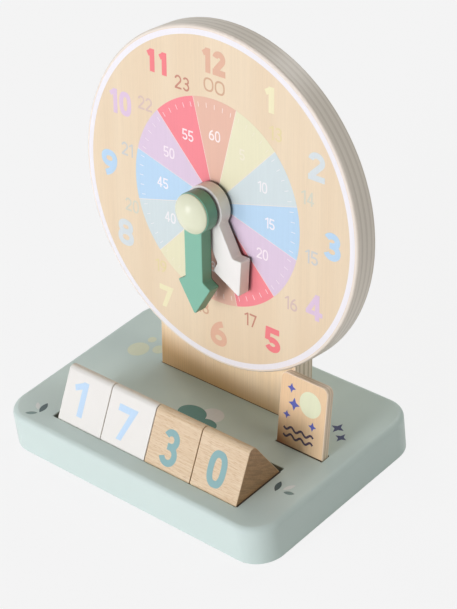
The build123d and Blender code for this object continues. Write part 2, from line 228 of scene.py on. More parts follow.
def birch_ply(name, origin, out, up, depth_mm, plies, veneer, band, edge, dark, streak_dark=0.97,
              foot_shade=None):
    """Birch plywood in its own frame. Across the board the veneer is noise drawn out along the grain,
    in broad bands and fine streaks. Between the two faces the cut edge is greyer, and its plies are
    steps of the depth. Painted shade at the foot fades in down a direction, between two distances in
    mm, to its own tone."""
    material, tree, surface = new_material(name)
    place = add(tree, "ShaderNodeTexCoord").outputs["Object"]
    across, along, outward = (distance_along(tree, place, origin, way)
                              for way in (np.cross(up, out), up, out))
    board = add(tree, "ShaderNodeCombineXYZ", {"X": across, "Y": along, "Z": outward}).outputs[0]
    # broad bands 22 mm wide and 300 mm long, streaks 0.8 mm wide and 60 mm long, pores 0.35 by 6 mm
    wide = fibres(tree, board, (22, 300, 22), 1.0)
    fine = fibres(tree, board, (0.8, 60, 0.8), 3.0)
    pores = fibres(tree, board, (0.35, 6, 0.35), 2.0)
    wide = add(tree, "ShaderNodeMapRange", {0: wide, 1: 0.35, 2: 0.65}, interpolation_type="SMOOTHSTEP")
    face = add(tree, "ShaderNodeMix", {0: wide.outputs[0], 6: linear(veneer), 7: linear(band)},
               data_type="RGBA").outputs[2]
    streak = add(tree, "ShaderNodeMapRange", {0: fine, 1: 0.30, 2: 0.70, 3: streak_dark, 4: 1.02})
    speck = add(tree, "ShaderNodeMapRange", {0: pores, 1: 0.28, 2: 0.40, 3: 0.95, 4: 1.0})
    grain = add(tree, "ShaderNodeMath", {0: streak.outputs[0], 1: speck.outputs[0]}, operation="MULTIPLY")
    face = add(tree, "ShaderNodeMix", {0: 1.0, 6: face, 7: grain.outputs[0]}, data_type="RGBA",
               blend_type="MULTIPLY").outputs[2]
    if foot_shade:
        way, shade_start, foot, foot_shade_tone = foot_shade
        # painted shade: the foot darkens between the two distances
        height = distance_along(tree, board, (0.0, 0.0, 0.0), way)
        shade_share = add(tree, "ShaderNodeMapRange", {0: height, 1: shade_start * mm, 2: foot * mm},
                     interpolation_type="SMOOTHSTEP")
        face = add(tree, "ShaderNodeMix", {0: shade_share.outputs[0], 6: face, 7: linear(foot_shade_tone)},
                   data_type="RGBA", blend_type="MULTIPLY").outputs[2]
    # the edge's tone comes in from 0.004 to 0.03 mm below each of the two faces
    buried = add(tree, "ShaderNodeMapRange", {0: outward, 1: -0.004 * mm, 2: -0.03 * mm})
    inside = add(tree, "ShaderNodeMapRange",
                 {0: outward, 1: (0.004 - depth_mm) * mm, 2: (0.03 - depth_mm) * mm})
    cut = add(tree, "ShaderNodeMath", {0: buried.outputs[0], 1: inside.outputs[0]}, operation="MULTIPLY")
    face = add(tree, "ShaderNodeMix", {0: cut.outputs[0], 6: face, 7: linear(edge)},
               data_type="RGBA").outputs[2]
    depth = add(tree, "ShaderNodeMapRange", {0: outward, 1: 0.0, 2: -depth_mm * mm})
    steps = add(tree, "ShaderNodeValToRGB", {0: depth.outputs[0]})
    ramp = steps.color_ramp
    glue_line = 0.25
    stops = [(0.0, 0.0)]
    for start, end in plies:
        stops += [(start - glue_line, 0.0), (start, 1.0), (end, 1.0), (end + glue_line, 0.0)]
    while len(ramp.elements) < len(stops):
        ramp.elements.new(1.0)
    for element, (where, tone) in zip(ramp.elements, stops):
        element.position = max(where, 0.0) / depth_mm
        element.color = (tone, tone, tone, 1.0)
    # the cut ends of the cross plies: short dark fibres 0.4 mm deep and 1.5 mm long
    ends = fibres(tree, board, (1.5, 1.5, 0.4), 3.0)
    share = add(tree, "ShaderNodeMapRange", {0: ends, 1: 0.30, 2: 0.70, 3: 0.70, 4: 1.0})
    share = add(tree, "ShaderNodeMath", {0: share.outputs[0], 1: steps.outputs["Color"]},
                operation="MULTIPLY")
    wood = add(tree, "ShaderNodeMix", {0: share.outputs[0], 6: face, 7: linear(dark)}, data_type="RGBA")
    bump = add(tree, "ShaderNodeBump", {"Height": grain.outputs[0], "Strength": 0.25,
                                        "Distance": 0.04 * mm})
    shell = add(tree, "ShaderNodeBsdfPrincipled", {"Base Color": wood.outputs[2], "Roughness": 0.40,
                                                   "Normal": bump.outputs["Normal"]})
    tree.links.new(shell.outputs["BSDF"], surface)
    return material


# birch under satin varnish: pale, with a silky grain and a soft gloss
dial_ply = birch_ply("varnished_birch_dial", dial_centre, dial_out, dial_up, ply_thickness, dark_plies,
                     *dial_wood)
upright_front = dial_centre - dial_out * dial_front_thickness * mm
upright_ply = birch_ply("varnished_birch_upright", upright_front, dial_out, dial_up, ply_thickness,
                        dark_plies, *upright_wood, upright_streaks, upright_foot_shade)
dress("upright_board", upright_ply)
dress("dial_front", dial_ply)
dress("dial_back", dial_ply)

# ---------------------------------------------------------------- dial print
# Screen print on the dial: twelve coloured fields with white minute marks and numbers, bold
# hour numerals, thin numerals for the afternoon hours, and a pale ring round the edge.

# how far a print stands proud of its board, how far its root is sunk in it, and how far the chords
# of its outlines may leave their curves, in mm
ink_thickness = 0.04
ink_root = 0.02
chord_slack = 0.012
field_radius = 60.5
field_root = 8.6
field_gap = 0.30
field_inks = ["#E2B7A0", "#E5E2BE", "#CFDCDA", "#B7D5E9", "#DAC7D8", "#F0888E"]
numeral_inks = ["#DEB296", "#ECE6BC", "#D3DCDB", "#B7D4E8", "#DBC3D7", "#EE8083"]
fine_inks = ["#D1AA8A", "#E3D5A0", "#D2D2BF", "#CACCC9", "#D6BEB3", "#C48872"]
mark_white = "#FCF4F2"
# how much of each field's colour the thin white ink over it hides
white_shares = (0.85, 0.30, 0.65, 0.85, 0.72, 0.88)
joint_cream = "#F1E4D7"
joint_width = 0.30
ring_white = "#ECEBEC"
ring_radii = (94.7, 98.0)
minute_radius = 39.6
minute_size = (3.9, 6.4, 0.9)
mark_radii = (54.6, 57.4)
mark_width = 0.33
hour_radius = 81.5
hour_size = (11.8, 16.2, 3.7)
hour_gap = 1.6
# hours whose numerals differ: their size, their shift from the exact place, and their digits' distance
hour_sizes = {1: (10.2, 14.6, 3.8), 2: (11.2, 16.2, 3.4), 4: (11.6, 15.6, 3.0), 5: (11.4, 15.2, 3.6),
              6: (12.4, 17.0, 3.7), 7: (9.8, 13.8, 3.4), 8: (12.4, 16.6, 3.5), 9: (12.4, 17.0, 3.7),
              10: (9.3, 14.6, 3.1), 11: (8.8, 13.2, 3.6), 12: (9.1, 14.0, 3.6)}
hour_shifts = {1: (-1.7, 0.5), 2: (0.8, 1.8), 3: (1.1, 0.3), 4: (0.6, 1.5), 5: (1.0, 0.3), 6: (1.6, 1.4),
               7: (1.6, -0.7), 8: (0.5, 0.1), 9: (0.0, -0.7), 10: (-0.5, -1.4), 11: (-1.3, 0.4)}
hour_gaps = {11: 3.6}
fine_size = (4.9, 8.0, 1.05)
fine_gap = 0.9
fine_zero_width = 7.2
# where each thin numeral stands: radius, and degrees past the hour that it doubles
fine_places = {13: (68.4, 9.2), 14: (69.6, 10.6), 15: (69.6, 8.6), 16: (69.6, 8.0), 17: (68.4, 8.1),
               18: (68.5, 8.6), 19: (68, 8.8), 20: (68, 11.2), 21: (68, 10.3), 22: (68, 10.2),
               23: (67.8, 9.7), 24: (67.9, 0.0)}


def ink(name, colour, roughness=0.5):
    """Printing ink on wood: one flat colour that the grain beneath mottles a little."""
    material, tree, surface = new_material(name)
    place = add(tree, "ShaderNodeTexCoord").outputs["Object"]
    # streaks 1.1 mm wide and 20 mm long
    grain = fibres(tree, place, (1.1, 20, 40), 3.0)
    tone = add(tree, "ShaderNodeMapRange", {0: grain, 1: 0.3, 2: 0.7, 3: 0.97, 4: 1.0})
    colour = add(tree, "ShaderNodeMix", {0: 1.0, 6: linear(colour), 7: tone.outputs[0]}, data_type="RGBA",
                 blend_type="MULTIPLY")
    film = add(tree, "ShaderNodeBsdfPrincipled", {"Base Color": colour.outputs[2], "Roughness": roughness})
    tree.links.new(film.outputs["BSDF"], surface)
    return material


def blend(under, over, share):
    """One hex colour over another: each channel of the second by its share, the rest of the first."""
    pairs = [(int(under[i:i + 2], 16), int(over[i:i + 2], 16)) for i in (1, 3, 5)]
    return "#" + "".join(f"{round(a + (b - a) * share):02X}" for a, b in pairs)


def bow(x, y, rx, ry, start_deg, end_deg, power=2.0):
    """Points of a superellipse from one angle to another, so close that the chords between them stay
    within the slack: the angle of such a chord is twice the root of twice the slack over the radius."""
    chord_deg = math.degrees(2 * math.sqrt(2 * chord_slack / max(rx, ry)))
    steps = max(3, math.ceil(abs(end_deg - start_deg) / chord_deg) + 1)
    angle = np.radians(np.linspace(start_deg, end_deg, steps))
    cos, sin = np.cos(angle), np.sin(angle)
    return np.column_stack([x + rx * np.sign(cos) * np.abs(cos) ** (2 / power),
                            y + ry * np.sign(sin) * np.abs(sin) ** (2 / power)])


def loop(x, y, rx, ry, power=2.0):
    """A closed superellipse."""
    return bow(x, y, rx, ry, 0, 360, power)[:-1]


def stroke(path, pen):
    """The outline of a pen stroke along a path: each point moved half a pen to both sides along the
    bisector of its two runs, with square ends."""
    path = np.asarray(path, float)
    runs = np.diff(path, axis=0)
    runs /= np.linalg.norm(runs, axis=1)[:, None]
    sides = np.column_stack([-runs[:, 1], runs[:, 0]])
    before = np.vstack([sides[:1], sides])
    after = np.vstack([sides, sides[-1:]])
    bisector = before + after
    offset = bisector * (pen / np.maximum(np.sum(bisector ** 2, axis=1), 0.4))[:, None]
    return np.vstack([path + offset, (path - offset)[::-1]])


def digit(figure, w, h, pen):
    """One digit in a box w by h, on proportions of the box and of the pen: its pen strokes, the holes
    of its closed loops, and its width."""
    middle, low, high = w / 2, pen / 2, h - pen / 2
    left, right = pen / 2, w - pen / 2
    square = 2.5
    if figure == 0:
        return [loop(middle, h / 2, middle, h / 2, square)], [
            loop(middle, h / 2, middle - pen, h / 2 - pen, square)], w
    if figure == 1:
        narrow = 0.62 * w
        stem = [(narrow - low, 0), (narrow - low, h)]
        flag = [(narrow - pen * 0.6, h - pen * 0.42), (0.04 * w, h - 0.25 * h)]
        return [stroke(stem, pen), stroke(flag, pen * 0.86)], [], narrow
    if figure == 2:
        top = 0.31 * h - low
        curve = bow(middle, high - top, middle - low, top, 172, -38)
        foot = [(0, low), (w, low)]
        return [stroke(np.vstack([curve, [(left * 1.15, pen * 0.8)]]), pen), stroke(foot, pen)], [], w
    if figure == 3:
        waist = 0.53 * h
        upper = bow(middle, (high + waist) / 2, middle * 0.93 - low, (high - waist) / 2, 158, -90)
        lower = bow(middle, (low + waist) / 2, middle - low, (waist - low) / 2, 90, -160)
        tongue = [(0.36 * w, waist)]
        return [stroke(np.vstack([upper, tongue]), pen), stroke(np.vstack([tongue, lower]), pen)], [], w
    if figure == 4:
        stem, bar = 0.68 * w, 0.27 * h
        return [stroke([(stem, 0), (stem, h)], pen), stroke([(0, bar), (w, bar)], pen * 0.9),
                stroke([(stem - pen * 0.1, h - pen * 0.45), (pen * 0.4, bar)], pen * 0.95)], [], w
    if figure == 5:
        rise = 0.31 * h - low
        bowl = bow(middle, low + rise, middle - low, rise, 132, -158)
        return [stroke([(0.10 * w, high), (0.93 * w, high)], pen),
                stroke([(left + 0.08 * w, h), (left + 0.02 * w, 0.46 * h)], pen), stroke(bowl, pen)], [], w
    if figure == 6:
        waist = 0.31 * h
        stem = bow(w * 1.02, waist, w * 1.02 - low, high - waist, 180, 108)
        return [loop(middle, waist, middle, waist, 2.2), stroke(stem, pen)], [
            loop(middle, waist, middle - pen, waist - pen, 2.2)], w
    if figure == 7:
        return [stroke([(0, high), (w - pen * 0.35, high), (0.36 * w, -0.05 * h)], pen)], [], w
    if figure == 8:
        upper, lower = 0.475 * (h + pen) / 2, 0.525 * (h + pen) / 2
        loops = ((h - upper, middle * 0.93, upper), (lower, middle, lower))
        return ([loop(middle, y, rx, ry, 2.2) for y, rx, ry in loops],
                [loop(middle, y, rx - pen, ry - pen, 2.2) for y, rx, ry in loops], w)
    # a nine is a six turned half round
    strokes, holes, _ = digit(6, w, h, pen)
    return [(w, h) - run for run in strokes], [(w, h) - run for run in holes], w


def number(text, x, y, size, spacing=0.5, zero_width=None):
    """A number centred on a point, as one group of strokes and one of holes."""
    w, h, pen = size
    signs = []
    for sign in text:
        strokes, holes, width = digit(int(sign), zero_width if zero_width and sign == "0" else w, h, pen)
        strokes = [np.column_stack([run[:, 0], np.clip(run[:, 1], 0, h)]) for run in strokes]
        signs.append((strokes, holes, width))
    start = x - (sum(width for _, _, width in signs) + spacing * (len(signs) - 1)) / 2
    outlines, openings = [], []
    for strokes, holes, width in signs:
        shift = np.array([start, y - h / 2])
        outlines += [run + shift for run in strokes]
        openings += [run + shift for run in holes]
        start += width + spacing
    return outlines, openings


def area_of(run):
    """The signed area of an outline, positive when it runs counter-clockwise: half the sum, over its
    edges, of the cross product of their ends."""
    ahead = np.roll(run, -1, axis=0)
    return np.sum(run[:, 0] * ahead[:, 1] - run[:, 1] * ahead[:, 0]) / 2


def film(groups, low, high):
    """Closed flat films: the union of each group's outlines less its holes, cut into triangles, as a top
    at height high, the same at height low facing down, and a wall along every border edge."""
    points, faces = [], []
    for outlines, holes in groups:
        runs = [run if area_of(run) > 0 else run[::-1] for run in outlines + holes]
        starts = np.cumsum([0] + [len(run) for run in runs])
        cells = [list(range(a, b)) for a, b in zip(starts[:-1], starts[1:])]
        flat, _, triangles, _, _, cover = delaunay_2d_cdt(
            [Vector(point) for point in np.concatenate(runs)], [], cells, 1, 1e-5)
        kept = np.array([t for t, over in zip(triangles, cover) if over and max(over) < len(outlines)])
        corners = np.array([tuple(point) for point in flat])
        a, b, c = (corners[kept[:, i]] for i in range(3))
        turn = (b[:, 0] - a[:, 0]) * (c[:, 1] - a[:, 1]) - (b[:, 1] - a[:, 1]) * (c[:, 0] - a[:, 0])
        kept[turn < 0] = kept[turn < 0][:, ::-1]
        used, kept = np.unique(kept, return_inverse=True)
        kept = kept.reshape(-1, 3)
        corners, count = corners[used], len(used)
        edges = np.vstack([kept[:, [0, 1]], kept[:, [1, 2]], kept[:, [2, 0]]])
        border = edges[~np.isin(edges[:, 0] * count + edges[:, 1], edges[:, 1] * count + edges[:, 0])]
        wall = np.column_stack([border[:, 1], border[:, 0], border[:, 0] + count, border[:, 1] + count])
        first = sum(len(block) for block in points)
        points += [np.column_stack([corners, np.full(count, high)]),
                   np.column_stack([corners, np.full(count, low)])]
        faces += (kept + first).tolist() + (kept[:, ::-1] + count + first).tolist()
        faces += (wall + first).tolist()
    return np.concatenate(points), faces


def print_on(name, groups, material, body, slot, origin, right, up, layer=0):
    """Prints groups of outlines on a flat face: x along right, y along up, the film a hair proud of it."""
    low = layer * ink_thickness - ink_root
    points, faces = film(groups, low, low + ink_root + ink_thickness)
    right, up = np.asarray(right, float), np.asarray(up, float)
    basis = np.array([right, up, np.cross(right, up)])
    mesh = bpy.data.meshes.new(name)
    mesh.from_pydata((np.asarray(origin) + points * mm @ basis).tolist(), [], faces)
    mesh.materials.append(material)
    piece = bpy.data.objects.new(name, mesh)
    bpy.context.collection.objects.link(piece)
    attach(piece, body)


def clock_point(radius, angle_deg):
    """A point of the dial at a radius and an angle clockwise from twelve."""
    angle = math.radians(angle_deg)
    return radius * math.sin(angle), radius * math.cos(angle)


def field(hour):
    """One coloured field: a wedge between two radii, its sides drawn in by half the gap."""
    middle = 90 - 30 * hour
    run = []
    for radius, way in ((field_radius, 1), (field_root, -1)):
        half = 15 - math.degrees(field_gap / 2 / radius)
        run.append(bow(0, 0, radius, radius, middle + way * half, middle - way * half))
    return np.vstack(run)


def minute_mark(minute):
    """A short white bar on one minute."""
    return stroke([clock_point(radius, 6 * minute) for radius in mark_radii], mark_width)


on_dial = dict(body="base", slot="plywood", origin=dial_centre, right=dial_right, up=dial_up)
dial_inks = [ink(f"dial_ink_{index}", colour) for index, colour in enumerate(field_inks)]
thin_inks = [ink(f"dial_fine_ink_{index}", colour) for index, colour in enumerate(fine_inks)]
for index, material in enumerate(dial_inks):
    hours = (index, index + 6)
    print_on(f"fields_{index}", [([field(hour)], []) for hour in hours], material, **on_dial)
    numerals = []
    for hour in hours:
        shown = hour or 12
        x, y = np.add(clock_point(hour_radius, 30 * hour), hour_shifts.get(hour, (0, 0)))
        numerals.append(number(str(shown), x, y, hour_sizes.get(shown, hour_size),
                               hour_gaps.get(hour, hour_gap)))
    numeral_ink = ink(f"dial_numeral_ink_{index}", numeral_inks[index])
    print_on(f"hour_numerals_{index}", numerals, numeral_ink, **on_dial)
    thin = []
    for hour in hours:
        radius, past = fine_places[(hour or 12) + 12]
        text = str(hour + 12) if hour else "00"
        thin.append(number(text, *clock_point(radius, 30 * hour + past), fine_size, fine_gap,
                           fine_zero_width if text == "00" else None))
    print_on(f"afternoon_numerals_{index}", thin, thin_inks[index], **on_dial)
    minutes = [number(f"{5 * (hour or 12)}", *clock_point(minute_radius, 30 * hour), minute_size)
               for hour in hours]
    minutes += [([minute_mark(5 * hour + step)], []) for hour in hours for step in range(-2, 3)]
    white_ink = ink(f"dial_white_ink_{index}", blend(field_inks[index], mark_white, white_shares[index]))
    print_on(f"minutes_{index}", minutes, white_ink, layer=1, **on_dial)
joints = [([stroke([clock_point(radius, 30 * hour + 15) for radius in (field_root, field_radius)],
                   joint_width)], []) for hour in range(12)]
print_on("field_joints", joints, ink("dial_cream_ink", joint_cream), **on_dial)
inner, outer = ring_radii
print_on("dial_ring", [([loop(0, 0, outer, outer)], [loop(0, 0, inner, inner)])],
         ink("dial_ring_ink", ring_white, 0.45), **on_dial)

# ---------------------------------------------------------------- base print
# Small plain motifs printed on the base board's top: three pale dots, three round pebbles, two
# sprigs and two sparks. Painted shadow lines lie round the upright's foot and at the recess's end.

# half the upright's width at its foot, and the width of the painted shadow line round it
upright_half = 51.5
foot_pen = 0.7
# the width of the painted shadow line at the recess's right end, and how far its middle lies off
# the last block
recess_pen = 1.0
recess_clear = 0.55


def spark(x, y, radius, waist):
    """A spark: four points on a circle with their waists on a smaller one, its first point upwards."""
    steps = np.arange(8)
    angle = np.pi / 2 + np.pi * steps / 4
    reach = np.where(steps % 2 == 0, radius, radius * waist)
    return np.column_stack([x + reach * np.cos(angle), y + reach * np.sin(angle)])


def leaf(x, y, length, width, turn_deg):
    """A leaf: half a sine, to the power 0.8, on each side of its midrib, from its foot to its tip."""
    along = np.linspace(0, 1, 12)
    side = np.column_stack([along * length, width / 2 * np.sin(np.pi * along) ** 0.8])
    run = np.vstack([side, (side * (1, -1))[-2:0:-1]])
    c, s = math.cos(math.radians(turn_deg)), math.sin(math.radians(turn_deg))
    return run @ np.array([[c, s], [-s, c]]) + np.array([x, y])


on_base = dict(body="base", slot="base_paint", origin=(0, 0, base_top), right=(1, 0, 0), up=(0, 1, 0))
dots = [([loop(x, y, r, r)], []) for x, y, r in ((-72.4, 20.4, 6.6), (-61.6, 27.0, 4.0), (-72.0, 32.0, 2.7))]
print_on("base_dots", dots, ink("base_yellow_ink", "#DFE3C5"), **on_base)
# each pebble's middle and half sizes, and each leaf's foot, length, width and turn
pebbles = {"base_pale_pebble": ("#E2E4E2", 0, ((8.6, -2.6, 7.4, 6.0),)),
           "base_green_pebbles": ("#5F9089", 1, ((-2.6, -7.6, 9.6, 6.6), (11.4, -10.6, 6.6, 4.4)))}
for name, (colour, layer, group) in pebbles.items():
    print_on(name, [([loop(*one) for one in group], [])], ink(name + "_ink", colour), layer=layer, **on_base)
leaves = {"base_dark_leaves": ("#485C5C", ((-77.5, -57.0, 9.0, 3.8, 104), (81.7, -32.7, 8.4, 3.4, 108))),
          "base_grey_leaves": ("#7A918B", ((-78.0, -58.0, 7.5, 2.6, 214), (86.0, -30.8, 6.4, 2.6, 18))),
          "base_pale_leaves": ("#E2E6E0", ((-80.0, -55.5, 7.0, 2.6, 140), (84.4, -29.6, 7.6, 2.8, 62)))}
for name, (colour, group) in leaves.items():
    print_on(name, [([leaf(*one)], []) for one in group], ink(name.replace("leaves", "leaf_ink"), colour),
             **on_base)
sparks = [([spark(x, y, radius, waist=0.42)], []) for x, y, radius in ((75.0, 28.5, 4.3), (82.0, 22.8, 3.8))]
print_on("base_sparks", sparks, ink("base_indigo_ink", "#3C4268"), **on_base)
# the painted shadow lines lie where the upright's face meets the base's top, and beside the last block
foot_run = (base_top - upright_front[2]) / dial_up[2]
foot_y = (upright_front[1] + dial_up[1] * foot_run) / mm
foot_shadow_run = [stroke([(-upright_half, foot_y), (upright_half, foot_y), (upright_half, foot_y + ply_thickness)],
                    foot_pen)]
block_low, block_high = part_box("number_block_4")
recess_side = block_high.x / mm + recess_clear
recess_shadow_run = [stroke([(recess_side, block_low.y / mm), (recess_side, block_high.y / mm)], recess_pen)]
# dark ink printed as painted shadow in the gaps
painted_gap_shadow = ink("joint_shadow", "#3E372D")
print_on("upright_foot_line", [(foot_shadow_run, []), (recess_shadow_run, [])], painted_gap_shadow, **on_base)

# ---------------------------------------------------------------- shafts, bushes, washers and gears
# Turned brass bushes and pipe, a bright steel arbor and stud, pressed fibre washers, zinc-plated
# screws, and gears moulded in white acetal. All of it is hidden behind the dial or under the hands.


def bare_metal(name, colour, roughness, grit_mm):
    """Turned or plated metal: fine tool marks as noise of the grit's width in colour and gloss."""
    material, tree, surface = new_material(name)
    place = add(tree, "ShaderNodeTexCoord").outputs["Object"]
    marks = add(tree, "ShaderNodeTexNoise", {"Vector": place, "Scale": 1 / (grit_mm * mm), "Detail": 4.0})
    gloss = add(tree, "ShaderNodeMapRange", {0: marks.outputs["Fac"], 3: roughness * 0.8,
                                             4: roughness * 1.25})
    tone = add(tree, "ShaderNodeMapRange", {0: marks.outputs["Fac"], 3: 0.9, 4: 1.0})
    colour = add(tree, "ShaderNodeMix", {0: 1.0, 6: linear(colour), 7: tone.outputs[0]}, data_type="RGBA",
                 blend_type="MULTIPLY")
    metal = add(tree, "ShaderNodeBsdfPrincipled", {"Base Color": colour.outputs[2], "Metallic": 1.0,
                                                   "Roughness": gloss.outputs[0]})
    tree.links.new(metal.outputs["BSDF"], surface)
    return material


# brass is warm and zinc plate cool, and both blur what they mirror; acetal is milky, with the same
# soft skin as paint; pressed fibre is dark and dull
brass = bare_metal("turned_brass", "#D9B872", 0.28, 0.25)
steel = bare_metal("zinc_plated_steel", "#C9CBCD", 0.32, 0.30)
acetal = sprayed_paint("moulded_white_acetal", "#EFEDE6", "#EBE9E2", 0.38, 0.6)
pressed_fibre = sprayed_paint("pressed_fibre", "#3A332D", "#2F2925", 0.85, 0.4)
hidden_parts = (
    (steel, "steel", ("intermediate_stud", "spring_washer", "minute_arbor", "dial_screws", "upright_screws")),
    (brass, "brass", ("front_bush", "rear_bush", "hour_pipe")),
    (acetal, "gear_plastic", ("minute_pinion", "intermediate_wheel", "intermediate_pinion", "hour_wheel")),
    (pressed_fibre, "fibre", ("dial_washer", "hand_washer")))
for material, slot, nodes in hidden_parts:
    for node in nodes:
        dress(node, material)

# ---------------------------------------------------------------- hands and cap
# Two arrows sawn from 8 mm board and a turned cap, each sanded soft on its edges and sprayed:
# teal for the minutes, white for the hours, pale cream for the cap.

# how high over the dial's face each hand's back lies, and the painted shadow on its lowest 0.8 mm,
# for the shaded gap behind it
hour_back, minute_back = 1.2, 10.4
gap_shade_band, gap_shade_colour = 0.8, "#3A322B"
# satin paint lies soft on the hands, with painted shade on their sides and along their backs; the
# cap's gloss shows one clear highlight
teal_paint = sprayed_paint("teal_satin_paint", "#7FB79F", "#7CB49B", 0.40, 0.7, (dial_out, "#CBCBBD"),
                           back=(dial_centre, dial_out, minute_back + gap_shade_band, gap_shade_colour))
hour_paint = sprayed_paint("white_satin_hand_paint", "#EEECE5", "#EBE9E1", 0.42, 0.7, (dial_out, "#F8F0E6"),
                           back=(dial_centre, dial_out, hour_back + gap_shade_band, gap_shade_colour))
# the blocks' white paint, with painted shade on its sides and ends
white_paint = sprayed_paint("white_satin_paint", "#E6E5DC", "#E3E2D8", 0.42, 0.7, (dial_out, "#F1E8E0"))
cream_paint = sprayed_paint("cream_gloss_paint", "#E0E3C6", "#DCE0C1", 0.25, 0.7)
dress("minute_hand", teal_paint)
dress("hour_hand", hour_paint)
dress("centre_cap", cream_paint, 60.0)

# ---------------------------------------------------------------- number blocks
# Four three-sided bars planed from beech with softly rounded corners. Two are sprayed white
# and printed in light blue, two are varnished and printed in teal.

# each block's digit: its width, height and pen, and where its middle stands on the face, right of
# the block's middle and up the slope from its lower edge
block_digits = {"number_block_1": ("1", (16.4, 20.5, 4.1), -4.75, 21.25),
                "number_block_2": ("7", (13.0, 20.0, 4.0), -2.4, 19.5),
                "number_block_3": ("3", (12.8, 21.3, 3.9), -1.7, 18.4),
                "number_block_4": ("0", (13.0, 21.0, 4.0), -1.25, 19.4)}


def varnished_beech(name, colour, streak_colour, fleck_colour, end_grain_and_shade_colour):
    """Beech with its grain along X: fine streaks and short ray flecks drawn out along X, and ends
    darker where the surface faces X, partly as end grain that drinks varnish, partly as painted shade."""
    material, tree, surface = new_material(name)
    place = add(tree, "ShaderNodeTexCoord").outputs["Object"]
    # streaks 28 by 0.8 mm, flecks 4 by 0.28 mm, and growth rings across the ends 0.9 mm apart and leaning
    slant = add(tree, "ShaderNodeVectorRotate", {"Vector": place, "Angle": math.radians(32)},
                rotation_type="X_AXIS").outputs[0]
    grain = fibres(tree, place, (28, 0.8, 0.8), 3.0)
    flecks = fibres(tree, place, (4, 0.28, 0.28), 1.0)
    rings = fibres(tree, slant, (30, 8, 0.9), 3.0)
    streaks = add(tree, "ShaderNodeMapRange", {0: grain, 1: 0.35, 2: 0.65})
    wood = add(tree, "ShaderNodeMix", {0: streaks.outputs[0], 6: linear(colour), 7: linear(streak_colour)},
               data_type="RGBA")
    flecks = add(tree, "ShaderNodeMapRange", {0: flecks, 1: 0.54, 2: 0.70, 3: 0.0, 4: 0.55})
    wood = add(tree, "ShaderNodeMix", {0: flecks.outputs[0], 6: wood.outputs[2], 7: linear(fleck_colour)},
               data_type="RGBA")
    facing = add(tree, "ShaderNodeSeparateXYZ", {0: add(tree, "ShaderNodeNewGeometry").outputs["Normal"]})
    square = add(tree, "ShaderNodeMath", {0: facing.outputs["X"]}, operation="ABSOLUTE")
    # the darker ends, end grain and painted shade, come in from 37 to 11 degrees off X, whose cosines
    # these are
    ends = add(tree, "ShaderNodeMapRange", {0: square.outputs[0], 1: 0.80, 2: 0.98})
    rings = add(tree, "ShaderNodeMapRange", {0: rings, 1: 0.38, 2: 0.62, 3: 0.84, 4: 1.14})
    end_wood_and_shade = add(tree, "ShaderNodeMix", {0: 1.0, 6: linear(end_grain_and_shade_colour), 7: rings.outputs[0]},
                   data_type="RGBA", blend_type="MULTIPLY").outputs[2]
    wood = add(tree, "ShaderNodeMix", {0: ends.outputs[0], 6: wood.outputs[2], 7: end_wood_and_shade},
               data_type="RGBA", blend_type="MULTIPLY")
    bump = add(tree, "ShaderNodeBump", {"Height": grain, "Strength": 0.3, "Distance": 0.05 * mm})
    shell = add(tree, "ShaderNodeBsdfPrincipled", {"Base Color": wood.outputs[2], "Roughness": 0.45,
                                                   "Normal": bump.outputs["Normal"]})
    tree.links.new(shell.outputs["BSDF"], surface)
    return material


# varnished beech: tan and a little glossy, with short dark flecks
beech = varnished_beech("varnished_beech", "#DDC8A6", "#D3BA95", "#B38D63", "#C8B09A")
painted_block = (white_paint, ink("block_blue_ink", "#BFDAEE"), "white_paint")
bare_block = (beech, ink("block_teal_ink", "#84ACAB"), "beech")
block_slope = math.radians(60)
face_up = np.array([0.0, math.cos(block_slope), math.sin(block_slope)])
block_corner_r = 3.5
# the sharp corner below the face lies this far outside the box of the rounded one
inset = block_corner_r * (math.sqrt(3) - 1) * mm
for node, (text, size, shift, rise) in block_digits.items():
    # the two on the left, 1 and 7, are the painted ones
    finish, digit_ink, slot = painted_block if text in "17" else bare_block
    dress(node, finish)
    low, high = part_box(node)
    foot = np.array([(low.x + high.x) / 2, low.y - inset, low.z])
    print_on(node + "_digit", [number(text, shift, rise, size)], digit_ink,
             frame["nodes"][node]["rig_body"], slot, foot, (1, 0, 0), face_up)

# ---------------------------------------------------------------- day and night tile
# A tile of three-ply birch, 5.2 mm thick, with rounded upper corners and sanded edges. Its face
# has a plain moon disc, four sparks and two lines of waves, printed.

tile_lean = math.radians(14.2)
tile_thickness = 5.2
tile_plies = ((1.3, 2.3), (3.3, 4.2))
tile_wood = ("#ECCFA6", "#EECDA2", "#F2DDC2", "#DAC4A8")
tile_streaks = 0.92
# the lower left corner is painted darker as shade, as the height plus 0.75 of the way to the right
# falls from 9 to -12 mm
tile_corner_shade = ((0.75, 1.0, 0.0), 9, -12, "#A5744C")
# the width of the painted shadow line at the tile's foot, and how far its middle lies off the tile's
# front
tile_pen = 0.9
tile_clear = 0.5
# the moon disc, right of the tile's middle and above the base's top, and its radius
moon_x, moon_rise, moon_radius = 5.2, 29.8, 7.6
tile_low, tile_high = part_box("day_night_tile")
tile_out = np.array([0.0, -math.cos(tile_lean), math.sin(tile_lean)])
tile_up = np.array([0.0, math.sin(tile_lean), math.cos(tile_lean)])
# the sharp corner below the face lies this far outside the box of the rounded edge
tile_edge_r = 0.5
beyond = tile_edge_r * (math.sin(tile_lean) + math.cos(tile_lean) - 1) * mm
tile_corner = np.array([(tile_low.x + tile_high.x) / 2, tile_low.y - beyond,
                        tile_low.z + tile_thickness * mm * math.sin(tile_lean) - beyond])
tile_ply = birch_ply("varnished_birch_tile", tile_corner, tile_out, tile_up, tile_thickness,
                     tile_plies, *tile_wood, tile_streaks, tile_corner_shade)
dress("day_night_tile", tile_ply)


